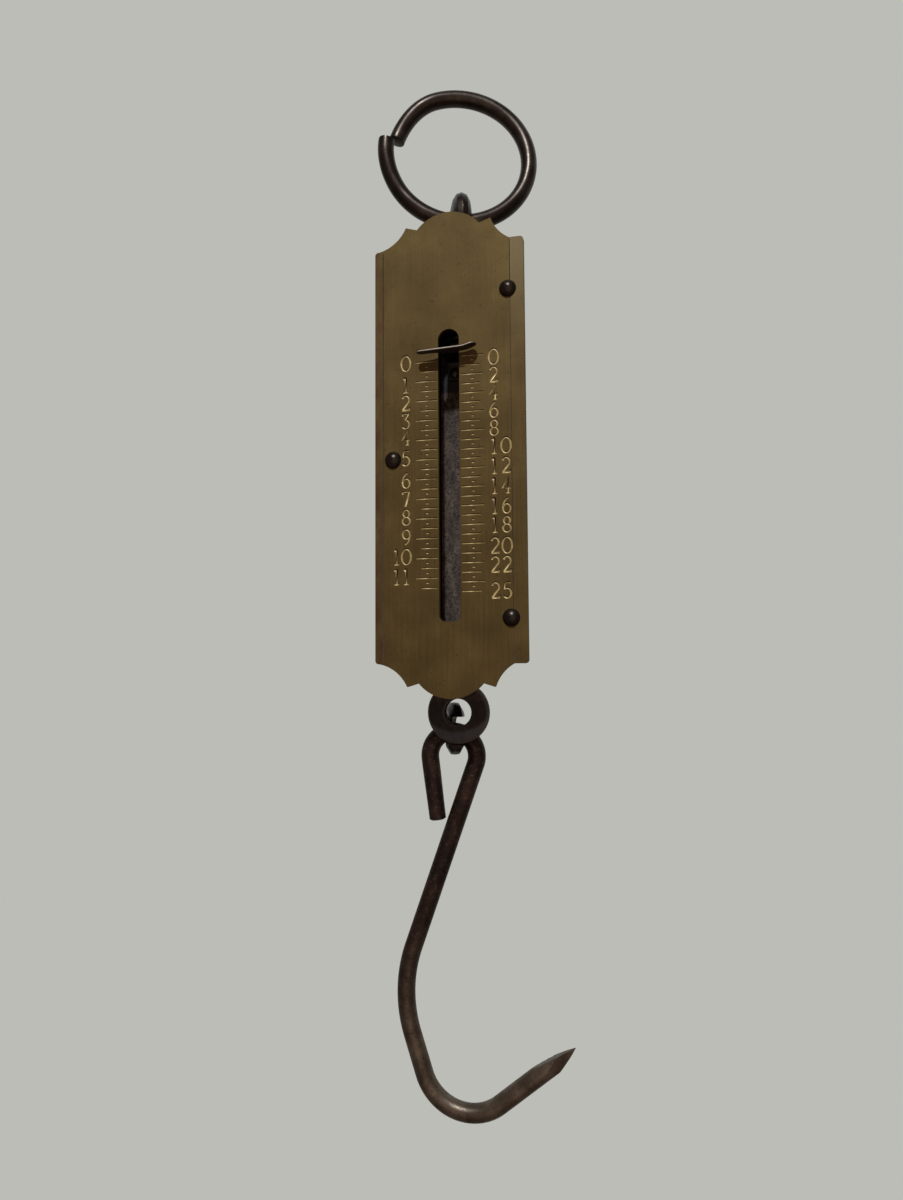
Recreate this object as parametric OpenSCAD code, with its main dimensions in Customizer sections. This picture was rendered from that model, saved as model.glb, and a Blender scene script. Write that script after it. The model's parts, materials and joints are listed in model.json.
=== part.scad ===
// Hanging spring balance: a brass face on an iron trough, a coil spring inside,
// a flat draw bar behind the scale slot, a link and a hook.
// Millimetres, +Z up, the face towards -Y. Everything is built about the swivel stem
// (X = 0, Y = 0) and the middle of the face (Z = 0), and moved at the end so that the
// place where the ring hangs on its peg is the origin.

/* [Face plate] */
// Width of the brass face
plate_w = 34.2; // [32:0.1:44]
// Height of the brass face between its corners
plate_h = 94; // [92:0.5:120]
// Thickness of the brass face
plate_t = 1.3; // [0.8:0.1:2]
// Distance from the swivel stem's axis to the front of the face
face_gap = 13; // [12.5:0.1:15]
// Half the chord of the round lobe at each end
lobe_half = 7.2; // [6:0.1:8]
// Rise of the lobe above its chord
lobe_rise = 3.4; // [2.5:0.1:5]
// Height of the notches beside the lobe above the corners
notch_rise = 4.2; // [3:0.1:5]
// Half the distance between the two peaks
peak_half = 9.8; // [9:0.1:11]
// Height of the peaks above the corners
peak_rise = 5; // [4:0.1:6]
// Flat left on the right shoulder, from the edge to the hollow
shoulder_right = 3.2; // [2:0.1:4.5]
// Flat left on the left shoulder, from the edge to the hollow
shoulder_left = 1; // [1:0.1:4.5]
// Radius of the hollow between shoulder and peak
hollow_r = 8.8; // [6:0.1:14]
// Radius of the face's four corners
corner_r = 0.8; // [0.3:0.1:0.9]

/* [Scale] */
// Width of the scale slot
slot_w = 4.8; // [4.4:0.1:6]
// Top of the slot above the middle of the face
slot_top = 27.5; // [26:0.1:32]
// Radius of the slot's lower corners
slot_corner = 1.2; // [0.4:0.1:2]
// Height of the zero mark above the middle of the face
zero_z = 20.4; // [18:0.1:22]
// Length of the scale from zero to the last mark
scale_len = 50.8; // [46:0.1:51]
// Length of the slot below the last mark
slot_spare = 7.4; // [4:0.1:8]
// Distance at which the pointer rests above zero
pointer_rest = 1.9; // [0:0.1:2.2]

/* [Rear trough] */
// Outer width of the half-round trough
case_w = 16; // [15:0.1:17]
// Thickness of the sheet iron
sheet = 0.8; // [0.5:0.1:1]
// Width across the trough's two flanges
flange_w = 31.2; // [30.5:0.1:31.8]
// How far the trough stops short of the face's corners, at each end
case_short = 0.5; // [0.2:0.1:1]

/* [Face rivets] */
// Radius of the round rivet heads
rivet_head_r = 1.95; // [1.6:0.05:2.1]
// Height of the round rivet heads
rivet_head_h = 1.3; // [0.8:0.1:1.5]
// Radius of the rivet shanks
rivet_r = 1.1; // [0.8:0.05:1.3]
// Thickness of the rivets' flattened back ends
rivet_foot = 0.7; // [0.4:0.1:1]
// Distance of the rivets' line from the edge of the face
rivet_edge = 3.6; // [3.4:0.1:4.2]
// How much further in the left rivet sits
rivet_inset = 0.6; // [0:0.1:0.8]
// Height of the upper right rivet
rivet_high = 35.4; // [30:0.1:40]
// Height of the left rivet
rivet_mid = -1.4; // [-10:0.1:10]
// Height of the lower right rivet
rivet_low = -37.2; // [-40:0.1:-30]
// Gap round a fixed shank in its hole
shank_fit = 0.05; // [0.02:0.01:0.1]

/* [Top block and swivel] */
// Height of the iron block that closes the trough at the top
block_h = 3.8; // [3.4:0.1:5]
// Radius of the swivel stem
stem_r = 2.2; // [1.8:0.1:2.6]
// Running gap round the stem and round pins that turn
run_fit = 0.06; // [0.03:0.01:0.1]
// Gap between a block and the trough that it closes
block_fit = 0.1; // [0.05:0.05:0.2]
// Thickness of the washer under the block
washer_t = 0.8; // [0.6:0.1:1.2]
// Radius of the washer
washer_r = 4.2; // [3.8:0.1:4.6]
// Height of the stem's peened end
peen_h = 1; // [0.8:0.1:1.4]
// Radius of the peened end
peen_r = 3.2; // [2.8:0.1:3.6]
// Radius of the collar that rests on the block
collar_r = 3.8; // [3.4:0.1:4.4]
// Height of the collar
collar_h = 1.2; // [0.8:0.1:1.6]
// Radius of the rivets through the trough's sides
side_rivet_r = 1; // [0.7:0.1:1.2]
// Depth that these rivets reach into a block
side_rivet_in = 3; // [2:0.1:3.2]
// Height of the heads of these rivets
side_head_h = 1; // [0.6:0.1:1.2]

/* [Top eye and ring] */
// Outer radius of the forged top eye
eye_r = 7.2; // [6.6:0.1:7.6]
// Radius of its hole
eye_hole_r = 2.8; // [2.7:0.05:3.1]
// Greatest thickness of the eye
eye_t = 4.9; // [4.4:0.1:5.2]
// Height of the eye's centre above the face's upper corners
eye_up = 10.9; // [10.2:0.1:13]
// Flat hammered on the crown of the eye
eye_flat = 0.6; // [0.2:0.1:0.8]
// Radius of the ring, to the middle of its wire
ring_r = 17.1; // [15:0.1:20]
// Diameter of the ring's wire
ring_wire = 3.9; // [3.5:0.1:4]
// Angle by which the ring leans back as it hangs
ring_lean = 7.4; // [0:0.1:12]
// Angle between the face and the ring with its eye as they hang
ring_turn = 18; // [0:1:30]
// Angle from the ring's right side round to its open joint
ring_joint = 164; // [150:1:175]
// Angle over which the ring is sprung out of line at each side of the joint
ring_sprung = 55; // [30:1:80]
// How far one end is sprung out and the other in
ring_offset = 0.85; // [0:0.05:1.4]
// Gap between the two ends where they pass each other
ring_gap = 0.2; // [0.15:0.05:1]
// Length over which they pass each other; below zero they stop that far apart
ring_lap = -2.8; // [-6:0.1:4]

/* [Draw bar] */
// Width of the draw bar
bar_w = 7; // [6:0.1:8]
// Thickness of the draw bar
bar_t = 1.6; // [1.2:0.1:2]
// Distance from the front of the face to the front of the bar
bar_setback = 6.8; // [6.2:0.1:7.4]
// Gap round the bar in its guide
bar_fit = 0.2; // [0.1:0.05:0.4]
// Height of the iron guide that closes the trough at the bottom
guide_h = 3.2; // [2.4:0.1:3.4]
// Outer radius of the round eye at the foot of the bar
disc_r = 6.95; // [6.4:0.05:7.4]
// Radius of its hole
disc_hole_r = 3.05; // [2.95:0.05:3.4]
// Thickness of the round eye
disc_t = 2.6; // [2:0.1:2.8]
// Bevel on the round eye's edges
disc_bevel = 0.45; // [0.2:0.05:0.6]
// Height of the bar's top above the pointer
bar_rise = 3.2; // [2:0.1:4]
// Distance from the face's lower corners down to the round eye's centre
disc_drop = 10.8; // [10.2:0.1:14]

/* [Pointer] */
// Width across the pointer's wings
pointer_w = 13.5; // [11:0.1:15]
// Thickness of the pointer's sheet
pointer_t = 0.9; // [0.6:0.1:1.2]
// How far the wings stand out in front of their gap to the face
pointer_reach = 2.9; // [2:0.1:4]
// Gap between the wings and the face
pointer_gap = 0.4; // [0.3:0.1:0.8]
// Width of the pointer's neck in the slot
neck_w = 3.4; // [2.6:0.1:3.8]
// Height of the foot that is riveted to the bar
foot_h = 4.8; // [4.2:0.1:6]
// Distance from the pointer's blade down to its rivet
foot_rivet_drop = 2.9; // [2.6:0.1:3.4]
// Radius of the pointer's rivet
foot_rivet_r = 0.8; // [0.6:0.05:1]
// Angle by which the wings rise to the right
pointer_slope = 2.5; // [0:0.5:4]

/* [Spring] */
// Diameter of the spring wire
spring_wire = 1.25; // [1:0.05:1.3]
// Mean radius of the curls
coil_r = 4.9; // [4.5:0.1:5]
// Gap between two curls at rest
coil_gap = 0.45; // [0.42:0.01:0.5]
// Pairs of curls; the hooks add half a curl
coil_pairs = 6; // [4:1:6]
// Height of the bend between the curls and a hook
hook_rise = 3.2; // [2.8:0.1:3.6]
// Radius of the two spring pins
pin_r = 1.1; // [0.9:0.05:1.2]
// Gap between a spring hook and its pin
pin_gap = 0.3; // [0.25:0.05:0.4]

/* [Link] */
// Outer radius of the open link
link_r = 5.95; // [5.7:0.05:6.2]
// Half the link's thickness
link_half = 1.75; // [1.5:0.05:1.8]
// Iron left under the seat of the hook
link_wall = 2.85; // [2.4:0.05:3.2]
// Widening of the seat towards the link's two sides
seat_bevel = 1.25; // [1.2:0.05:1.3]
// Play between the hook's wire and the link's seat
seat_play = 0.8; // [0.75:0.05:0.9]
// Gap at rest between pieces that hang in each other
hang_gap = 0.28; // [0.2:0.02:0.3]
// Sideways place of the link in the round eye
link_shift = -0.1; // [-0.3:0.1:0.3]
// Depth of the bevels at the link's rim
link_bevel = 1.6; // [1.2:0.1:2]
// Half the width of the link's rim
link_rim = 0.85; // [0.6:0.05:1]
// Angle between the link and straight ahead as it hangs
link_turn = 25; // [0:1:27]

/* [Hook] */
// Diameter of the hook's wire
hook_wire = 4.1; // [3.6:0.1:4.2]
// Radius of the hook's loop, to the middle of its wire
loop_r = 5.5; // [5.4:0.1:6]
// Length of the short leg that closes the loop
leg_len = 14; // [10:0.1:15]
// Gap between the short leg's cut end and the shank
leg_gap = 0.15; // [0.15:0.05:0.6]
// Radius of the short leg's cut end
leg_end_r = 1.9; // [1.2:0.05:2]
// Length of the straight shank
shank_len = 43.9; // [35:0.1:60]
// Angle by which the shank leans
shank_lean = 19.7; // [18:0.1:24]
// Radius of the bend under the shank
bend_r = 30; // [20:1:40]
// Angle of that bend
bend_angle = 37.7; // [30:0.1:45]
// Length of the straight part between bend and bowl
throat_len = 8.8; // [5:0.1:15]
// Radius of the bowl, to the middle of its wire
bowl_r = 10.9; // [8:0.1:16]
// Angle that the bowl turns through
bowl_angle = 111; // [95:0.5:125]
// Length of the straight part after the bowl
arm_len = 15.2; // [5:0.1:24]
// Length of the ground point
point_len = 6.4; // [4:0.1:10]

/* [Hidden] */
$fn = 48;

// Depths, counted from the stem's axis
face_y = -face_gap;
plate_back = face_y + plate_t;
bar_front = face_y + bar_setback;
bar_back = bar_front + bar_t;
bar_y = (bar_front + bar_back) / 2;
spring_r = coil_r + spring_wire / 2;
spring_clear = 0.5;
spring_y = bar_back + spring_clear + spring_r;
case_in = case_w / 2 - sheet;
case_back = spring_y + spring_r + spring_clear;
round_y = case_back - case_in;

// Heights, counted from the middle of the face
case_top = plate_h / 2 - case_short;
block_low = case_top - block_h;
lift = 0.05;
washer_low = block_low - lift - washer_t;
stem_end = washer_low - peen_h;
guide_top = -case_top + guide_h;
travel = scale_len + pointer_rest;
slot_bottom = scale_len + slot_spare - zero_z;
pointer_z = zero_z + pointer_rest;
bar_top = pointer_z + bar_rise;
hook_r = pin_r + pin_gap + spring_wire / 2;
pin_top_z = stem_end - 0.4 - hook_r - spring_wire / 2;
coil_pitch = spring_wire + coil_gap;
coil_count = 2 * coil_pairs - 0.5;
coil_len = coil_count * coil_pitch;
spring_len = coil_len + 2 * hook_rise;
pin_low_z = pin_top_z - spring_len;
spring_mid = (pin_top_z + pin_low_z) / 2;
disc_z = -plate_h / 2 - disc_drop;

// The ring hangs in the top of the eye's hole
ring_wire_r = ring_wire / 2;
eye_z = plate_h / 2 + eye_up;
ring_z = eye_z + eye_hole_r - ring_wire_r - hang_gap;
ring_up = [-sin(ring_turn) * sin(ring_lean), cos(ring_turn) * sin(ring_lean), cos(ring_lean)];
hang = [0, 0, ring_z] + (2 * ring_r - ring_wire_r) * ring_up;

// The link's upper jaw lies in the round eye's hole, and the hook's loop lies in its seat.
// Depths along the link are counted from the bar's middle, in the link's own plane.
jaw_half = 1.7;
jaw_aside = abs(link_shift) + jaw_half / cos(link_turn) + disc_t / 2 * tan(link_turn);
jaw_z = disc_z - sqrt(pow(disc_hole_r - hang_gap, 2) - pow(jaw_aside, 2));
seat_r = hook_wire / 2 + seat_play;
seat_z = disc_z - disc_r + seat_r;
seat_deep = -bar_y / cos(link_turn);
mouth_z = seat_z - seat_r - hang_gap;
mouth_deep = disc_t / 2 / cos(link_turn) + link_half * tan(link_turn) + hang_gap;
link_z = seat_z - seat_r - link_wall + link_r;
link_deep = link_r - disc_t / 2 - 0.1;
hook_x = link_shift + bar_y * tan(link_turn);
loop_z = seat_z - seat_play + hang_gap - loop_r;

// The short leg leans in until its cut end all but touches the shank
leg_aside = hook_wire / 2 + leg_end_r + leg_gap - loop_r;
leg_lean = acos(leg_aside / norm([loop_r, leg_len])) - atan2(leg_len, loop_r) - shank_lean;
leg_start = [loop_r * -cos(leg_lean) + leg_len * sin(leg_lean),
    loop_r * -sin(leg_lean) - leg_len * cos(leg_lean)];

echo(hang_point = hang);
echo(ring_tilt_at = [0, 0, ring_z] - hang, ring_tilt_axis = [cos(ring_turn), sin(ring_turn), 0]);
echo(stem_at = -hang, draw_travel = travel, spring_fixed_z = pin_top_z - hang[2]);
echo(link_swing_at = [link_shift, bar_y, jaw_z] - hang, link_swing_axis = [cos(link_turn), sin(link_turn), 0]);
echo(hook_sway_at = [hook_x, 0, loop_z] - hang);
echo(spring_axis = [0, spring_y, spring_mid] - hang, low_pin_z = pin_low_z - hang[2]);

module placed() {
    translate(-hang) children();
}

// A round rivet head that stands on Z = 0, as a part of a sphere
module dome(r, h) {
    ball = (r * r + h * h) / (2 * h);
    intersection() {
        translate([0, 0, h - ball]) sphere(ball, $fn = 64);
        cylinder(h = 2 * h, r = r + 0.01);
    }
}

// The inside of the trough, seen from above, less a gap
module trough_plan(gap, front) {
    w = case_in - gap;
    translate([-w, front]) square([2 * w, round_y - front]);
    translate([0, round_y]) circle(w);
}

// One end of the face above the line of its corners: the two peaks beside their hollows
module peaks_outline() {
    left = -plate_w / 2 + shoulder_left;
    right = plate_w / 2 - shoulder_right;
    difference() {
        polygon([[left, -1], [left, 0], [-peak_half, peak_rise], [-lobe_half, notch_rise],
            [lobe_half, notch_rise], [peak_half, peak_rise], [right, 0], [right, -1]]);
        translate(hollow_centre([left, 0], [-peak_half, peak_rise])) circle(hollow_r, $fn = 96);
        translate(hollow_centre([peak_half, peak_rise], [right, 0])) circle(hollow_r, $fn = 96);
    }
}

// The round lobe between the peaks
module lobe_outline() {
    lobe_r = (lobe_half * lobe_half + lobe_rise * lobe_rise) / (2 * lobe_rise);
    intersection() {
        translate([0, notch_rise + lobe_rise - lobe_r]) circle(lobe_r, $fn = 96);
        translate([-lobe_half, notch_rise - 1]) square([2 * lobe_half, lobe_rise + 2]);
    }
}

// Centre of the circle through two points that lies above the line from the first to the second
function hollow_centre(a, b) =
    let (half = norm(b - a) / 2, along = (b - a) / (2 * half))
    (a + b) / 2 + sqrt(hollow_r * hollow_r - half * half) * [-along[1], along[0]];

// The face between its four corners
module middle_outline() {
    inner = [plate_w - 2 * corner_r, plate_h - 2 * corner_r];
    square([plate_w, inner[1]], center = true);
    square([inner[0], plate_h], center = true);
    for (x = [-1, 1], z = [-1, 1])
        translate([x * inner[0], z * inner[1]] / 2) circle(corner_r);
}

module slot_outline() {
    low = slot_w / 2 - slot_corner;
    translate([-slot_w / 2, -slot_bottom + slot_corner])
        square([slot_w, slot_top - slot_w / 2 + slot_bottom - slot_corner]);
    translate([0, slot_top - slot_w / 2]) circle(slot_w / 2);
    translate([-low, -slot_bottom]) square([2 * low, 2 * slot_corner]);
    for (x = [-low, low]) translate([x, -slot_bottom + slot_corner]) circle(slot_corner);
}

rivet_places = [[plate_w / 2 - rivet_edge, rivet_high],
    [rivet_edge + rivet_inset - plate_w / 2, rivet_mid], [plate_w / 2 - rivet_edge, rivet_low]];

// Turned so that Z points out of the face, with its foot at depth y
module on_face(y) {
    translate([0, y, 0]) rotate([90, 0, 0]) children();
}

module face_plate() {
    color("#7a6a3a") placed() on_face(plate_back) difference() {
        union() {
            linear_extrude(plate_t) middle_outline();
            for (z = [0, 1]) mirror([0, z, 0]) translate([0, plate_h / 2, 0]) {
                linear_extrude(plate_t) peaks_outline();
                linear_extrude(plate_t) lobe_outline();
            }
        }
        translate([0, 0, -1]) linear_extrude(plate_t + 2) slot_outline();
        for (p = rivet_places) translate([p[0], p[1], -1]) cylinder(h = plate_t + 2, r = rivet_r + shank_fit);
    }
}

module face_rivet(at) {
    back = plate_back + sheet;
    color("#3a3430") placed() translate([at[0], 0, at[1]]) {
        on_face(face_y) dome(rivet_head_r, rivet_head_h);
        on_face(back) cylinder(h = back - face_y, r = rivet_r);
        on_face(back + rivet_foot) cylinder(h = rivet_foot, r1 = rivet_r + 0.3, r2 = rivet_head_r - 0.2);
    }
}

module rear_case() {
    color("#4a3f38") placed() difference() {
        union() {
            translate([0, 0, -case_top]) linear_extrude(2 * case_top) difference() {
                trough_plan(-sheet, plate_back);
                trough_plan(0, plate_back - 1);
            }
            for (x = [-1, 1]) translate([x > 0 ? case_in : -flange_w / 2, plate_back, -case_top])
                cube([flange_w / 2 - case_in, sheet, 2 * case_top]);
        }
        for (p = rivet_places) translate([p[0], plate_back - 1, p[1]]) rotate([-90, 0, 0])
            cylinder(h = sheet + 2, r = rivet_r + shank_fit);
        side_holes(block_rivet_place, side_rivet_r + shank_fit);
        side_holes(guide_rivet_place, side_rivet_r + shank_fit);
        side_holes([spring_y, pin_top_z], pin_r + shank_fit);
    }
}

block_rivet_place = [-5, (case_top + block_low) / 2];
guide_rivet_place = [0, (guide_top - case_top) / 2];

// A bore along X through both sides of the trough, at a depth and a height
module side_holes(at, r) {
    translate([-case_w, at[0], at[1]]) rotate([0, 90, 0]) cylinder(h = 2 * case_w, r = r);
}

// A rivet through one side of the trough into a block: side is 1 at the left, 0 at the right
module side_rivet(at, side) {
    color("#4a4440") placed() mirror([side, 0, 0])
        translate([case_w / 2, at[0], at[1]]) rotate([0, 90, 0]) {
            dome(side_rivet_r + 0.8, side_head_h);
            translate([0, 0, -sheet - side_rivet_in])
                cylinder(h = sheet + side_rivet_in, r = side_rivet_r);
        }
}

// Blind holes for the two rivets of a block
module side_rivet_holes(at) {
    for (side = [0, 1]) mirror([side, 0, 0])
        translate([case_in - side_rivet_in - 0.1, at[0], at[1]]) rotate([0, 90, 0])
            cylinder(h = side_rivet_in + 1, r = side_rivet_r + shank_fit);
}

module top_block() {
    color("#3c3530") placed() difference() {
        translate([0, 0, block_low]) linear_extrude(block_h)
            trough_plan(block_fit, plate_back + block_fit);
        translate([0, 0, block_low - 1]) cylinder(h = block_h + 2, r = stem_r + run_fit);
        side_rivet_holes(block_rivet_place);
    }
}

module bottom_guide() {
    color("#3c3530") placed() difference() {
        translate([0, 0, -case_top]) linear_extrude(guide_h)
            trough_plan(block_fit, plate_back + block_fit);
        translate([-bar_w / 2 - bar_fit, bar_front - bar_fit, -case_top - 1])
            cube([bar_w + 2 * bar_fit, bar_t + 2 * bar_fit, guide_h + 2]);
        side_rivet_holes(guide_rivet_place);
    }
}

module swivel_washer() {
    color("#55504a") placed() translate([0, 0, washer_low]) difference() {
        cylinder(h = washer_t, r = washer_r);
        translate([0, 0, -1]) cylinder(h = washer_t + 2, r = stem_r + run_fit);
    }
}

// The eye's wall is thickest near its hole and ends in a ridge, like a forged ring bolt
module top_eye() {
    half = eye_t / 2;
    collar_z = case_top + lift;
    neck_end = eye_z - eye_r + 1.8;
    color("#2e2825") placed() rotate([0, 0, ring_turn]) difference() {
        union() {
            translate([0, 0, eye_z]) rotate([0, 90, 0]) rotate_extrude()
                polygon([[0.8 * eye_hole_r, 1 - half], [eye_hole_r + 0.7, -half], [eye_r - 1.7, 0.45 - half],
                    [eye_r - 0.45, -1.2], [eye_r, 0], [eye_r - 0.45, 1.2],
                    [eye_r - 1.7, half - 0.45], [eye_hole_r + 0.7, half], [0.8 * eye_hole_r, half - 1]]);
            translate([0, 0, collar_z]) cylinder(h = collar_h, r = collar_r);
            translate([0, 0, collar_z + collar_h])
                cylinder(h = neck_end - collar_z - collar_h, r1 = collar_r - 0.5, r2 = eye_t / 2);
            translate([0, 0, stem_end + 0.1]) cylinder(h = collar_z - stem_end, r = stem_r);
            translate([0, 0, stem_end]) cylinder(h = peen_h - lift, r1 = stem_r + 0.2, r2 = peen_r);
        }
        translate([-eye_t, 0, eye_z]) rotate([0, 90, 0]) cylinder(h = 2 * eye_t, r = eye_hole_r);
        translate([-eye_t, -eye_r, eye_z + eye_r - eye_flat]) cube([2 * eye_t, 2 * eye_r, 2]);
    }
}

// Open ring of round wire: its two ends are sprung past each other, the lower one out and
// forward, the upper one in and back
ring_aside = sqrt(pow(ring_wire + ring_gap, 2) - pow(2 * ring_offset, 2)) / 2;
ring_steps = 52;
ring_extra = ring_lap / ring_r * 90 / PI;

function sprung(a) = smooth(max(0, 1 - a / ring_sprung)) - smooth(max(0, 1 - (360 - a) / ring_sprung));
function ring_at(a) = let (r = ring_r + ring_offset * sprung(a), b = ring_joint + a)
    [r * cos(b), -ring_aside * sprung(a), ring_r + r * sin(b)];

module hanging_ring() {
    path = [for (i = [0 : ring_steps]) ring_at((360 + 2 * ring_extra) * i / ring_steps - ring_extra)];
    color("#241f1d") placed() translate([0, 0, ring_z]) rotate([0, 0, ring_turn])
        rotate([-ring_lean, 0, 0]) tube(path, [for (p = path) ring_wire_r], wire_corners);
}

module spring_top_pin() {
    color("#55504a") placed() cross_pin([spring_y, pin_top_z], case_w / 2);
}

module spring_low_pin() {
    color("#55504a") placed() cross_pin([spring_y, pin_low_z], ear_out);
}

// A pin along X with small peened heads outside the two walls that carry it
module cross_pin(at, wall) {
    translate([0, at[0], at[1]]) rotate([0, 90, 0]) {
        cylinder(h = 2 * wall, r = pin_r, center = true);
        for (side = [0, 1]) mirror([0, 0, side]) translate([0, 0, wall])
            cylinder(h = 0.5, r1 = pin_r + 0.5, r2 = pin_r + 0.2);
    }
}

ear_in = spring_wire / 2 + 0.55;
ear_out = bar_w / 2 - 0.6;
ear_r = pin_r + 0.9;

// Flat bar with two ears for the spring's pin and a round eye at its foot
module draw_bar() {
    neck_top = disc_z + disc_r + 1.6;
    color("#463a34") placed() difference() {
        union() {
            translate([-bar_w / 2, bar_front, disc_z + disc_r - 2])
                cube([bar_w, bar_t, bar_top - disc_z - disc_r + 2]);
            translate([-bar_w / 2, 0, 0]) rotate([90, 0, 90]) linear_extrude(bar_w)
                polygon([[bar_front, neck_top], [bar_y - disc_t / 2, disc_z + disc_r - 0.6],
                    [bar_y - disc_t / 2, disc_z + disc_r - 2], [bar_y + disc_t / 2, disc_z + disc_r - 2],
                    [bar_y + disc_t / 2, disc_z + disc_r - 0.6], [bar_back, neck_top]]);
            translate([0, bar_y, disc_z]) rotate([90, 0, 0]) round_eye();
            for (side = [0, 1]) mirror([side, 0, 0]) ear();
        }
        translate([-bar_w, spring_y, pin_low_z]) rotate([0, 90, 0])
            cylinder(h = 2 * bar_w, r = pin_r + shank_fit);
        translate([0, bar_back + 1, foot_rivet_z]) rotate([90, 0, 0])
            cylinder(h = bar_t + 2, r = foot_rivet_r + shank_fit);
        translate([0, bar_y + disc_t, disc_z]) rotate([90, 0, 0]) cylinder(h = 2 * disc_t, r = disc_hole_r);
    }
}

// Ring of the bar's round eye, with bevels at its rim and at its hole
module round_eye() {
    half = disc_t / 2;
    rotate_extrude($fn = 72) polygon([[disc_hole_r, disc_bevel - half], [disc_hole_r + disc_bevel, -half],
        [disc_r - disc_bevel, -half], [disc_r, disc_bevel - half], [disc_r, half - disc_bevel],
        [disc_r - disc_bevel, half], [disc_hole_r + disc_bevel, half], [disc_hole_r, half - disc_bevel]]);
}

module ear() {
    translate([ear_in, spring_y, pin_low_z]) rotate([0, 90, 0]) cylinder(h = ear_out - ear_in, r = ear_r);
    translate([ear_in, bar_back - 0.1, pin_low_z - ear_r])
        cube([ear_out - ear_in, spring_y - bar_back + 0.1, 2 * ear_r]);
}

foot_rivet_z = pointer_z - foot_rivet_drop;

// A sheet-iron T: its foot is riveted to the bar, its neck comes out through the slot,
// and its two wings lie in front of the face
module pointer() {
    top = pointer_z + pointer_t / 2;
    wing_back = face_y - pointer_gap;
    end_r = pointer_reach / 2;
    color("#2a2421") placed() difference() {
        union() {
            translate([-neck_w / 2, bar_front - pointer_t, top - foot_h]) cube([neck_w, pointer_t, foot_h]);
            translate([-neck_w / 2, wing_back - pointer_reach / 2, top - pointer_t])
                cube([neck_w, bar_front - wing_back + pointer_reach / 2, pointer_t]);
            translate([0, wing_back - end_r, pointer_z]) rotate([0, -pointer_slope, 0])
                linear_extrude(pointer_t, center = true) {
                    square([pointer_w - 2 * end_r, 2 * end_r], center = true);
                    for (x = [-1, 1]) translate([x * (pointer_w / 2 - end_r), 0]) circle(end_r);
                }
        }
        translate([0, bar_front + 1, foot_rivet_z]) rotate([90, 0, 0])
            cylinder(h = pointer_t + 2, r = foot_rivet_r + shank_fit);
    }
}

module pointer_rivet() {
    color("#55504a") placed() translate([0, 0, foot_rivet_z]) {
        on_face(bar_front - pointer_t) dome(1.3, 0.8);
        on_face(bar_back) cylinder(h = bar_t + pointer_t, r = foot_rivet_r);
        on_face(bar_back + 0.35) cylinder(h = 0.35, r1 = 0.9, r2 = 1.2);
    }
}

// Open link like a thick C, seen edge on from the front: a ridge runs round its rim,
// its mouth takes the bar's round eye and its seat takes the hook's loop
module hook_link() {
    low = seat_z - seat_r;
    bevel_in = link_r - link_bevel;
    ridge = 0.12;
    color("#2e2825") placed() translate([link_shift, bar_y, 0]) rotate([0, 0, link_turn]) difference() {
        translate([0, link_deep, link_z]) rotate([0, 90, 0]) rotate_extrude()
            polygon([[0, -link_half], [bevel_in, -link_half], [link_r - ridge, -link_rim], [link_r, 0],
                [link_r - ridge, link_rim], [bevel_in, link_half], [0, link_half]]);
        translate([-5, seat_deep, seat_z]) rotate([0, 90, 0]) cylinder(h = 10, r = seat_r);
        for (side = [0, 1]) mirror([side, 0, 0]) translate([0.2, seat_deep, seat_z])
            rotate([0, 90, 0]) cylinder(h = link_half, r1 = seat_r, r2 = seat_r + seat_bevel);
        translate([-5, link_deep - 2 * link_r, mouth_z])
            cube([10, 2 * link_r - link_deep + mouth_deep, jaw_z - mouth_z]);
        translate([-5, mouth_deep - 1, low + 0.4]) cube([10, seat_deep - mouth_deep + 1, jaw_z - low - 0.4]);
    }
}

// The centre line of a bent wire in the XZ plane. A part is [length, 0] for a straight one or
// [radius, turn] for an arc, and each sets out the way the last one ended: 0 is up, and a
// positive turn is towards +X.
function way(a) = [sin(a), cos(a)];
function arc_centre(at, a, p) = at + sign(p[1]) * p[0] * [cos(a), -sin(a)];
function part_points(at, a, p) = p[1] == 0 ? [at + p[0] * way(a)] :
    let (n = ceil(abs(p[1]) / wire_step))
    [for (i = [1 : n]) let (b = a + p[1] * i / n) arc_centre(at, a, p) - sign(p[1]) * p[0] * [cos(b), -sin(b)]];
function wire_points(parts, at, a, i = 0) = i == len(parts) ? [] :
    let (here = part_points(at, a, parts[i]))
    concat(here, wire_points(parts, here[len(here) - 1], a + parts[i][1], i + 1));
wire_step = 10;
wire_corners = 16;

// From the cut end up the short leg, round the loop, down the shank and round to the point
module hook() {
    r = hook_wire / 2;
    parts = [[leg_len, 0], [loop_r, 180 + leg_lean + shank_lean], [shank_len, 0], [bend_r, -bend_angle],
        [throat_len, 0], [bowl_r, -bowl_angle], [arm_len, 0], [point_len, 0]];
    line = concat([leg_start], wire_points(parts, leg_start, -leg_lean));
    n = len(line) - 1;
    radii = [for (i = [0 : n]) i == 0 ? leg_end_r : i == n ? 0.12 : r];
    color("#33291f") placed() translate([hook_x, 0, loop_z])
        tube([for (p = line) [p[0], 0, p[1]]], radii, wire_corners);
}

// Half of the spring's path, from its middle to the end of its upper hook, at even steps.
// The curls are a helix, the bend shrinks to the hook while it rises, and the hook is an arc.
coil_steps = 8;
bend_steps = 6;
arc_steps = 8;
hook_arc = 250;
end_angle = coil_count * 180;

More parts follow.
